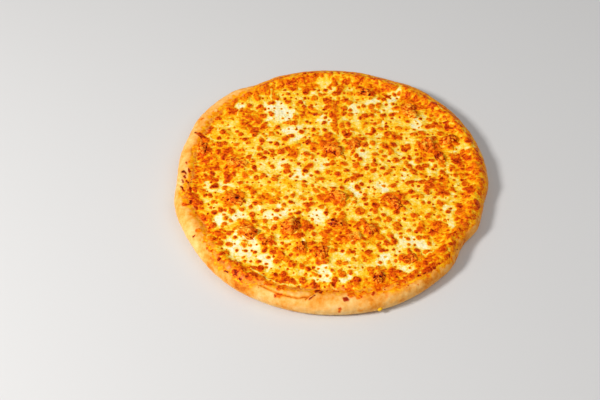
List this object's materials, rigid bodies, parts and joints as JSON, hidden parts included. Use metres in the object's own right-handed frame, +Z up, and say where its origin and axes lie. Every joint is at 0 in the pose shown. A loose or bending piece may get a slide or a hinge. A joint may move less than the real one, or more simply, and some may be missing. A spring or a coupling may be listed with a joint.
{
  "type": "pizza",
  "caption": "Whole round baked pizza: a golden dough crust with a raised uneven rim, browned melted cheese up to and over the rim, and cooked meat pieces standing out of it.",
  "frame": {"origin": "centre of the flat underside", "axes": "+Z up out of the toppings; -Y is the side nearest to the viewer in the picture, +X to the viewer's right"},
  "size_m": [0.3005, 0.2981, 0.0256],
  "materials": {
    "crust": "baked dough, dry and slightly floury",
    "cheese": "melted and browned cheese, slightly oily",
    "meat": "roasted meat, satin"
  },
  "bodies": {
    "root": {"crust": "crust", "cheese": "cheese", "meat_01": "meat", "meat_02": "meat", "meat_03": "meat", "meat_04": "meat", "meat_05": "meat", "meat_06": "meat", "meat_07": "meat", "meat_08": "meat", "meat_09": "meat", "meat_10": "meat", "meat_11": "meat", "meat_12": "meat", "meat_13": "meat", "meat_14": "meat", "meat_15": "meat", "meat_16": "meat", "meat_17": "meat", "meat_18": "meat", "meat_19": "meat", "meat_20": "meat", "meat_21": "meat", "meat_22": "meat"}
  },
  "joints": []
}
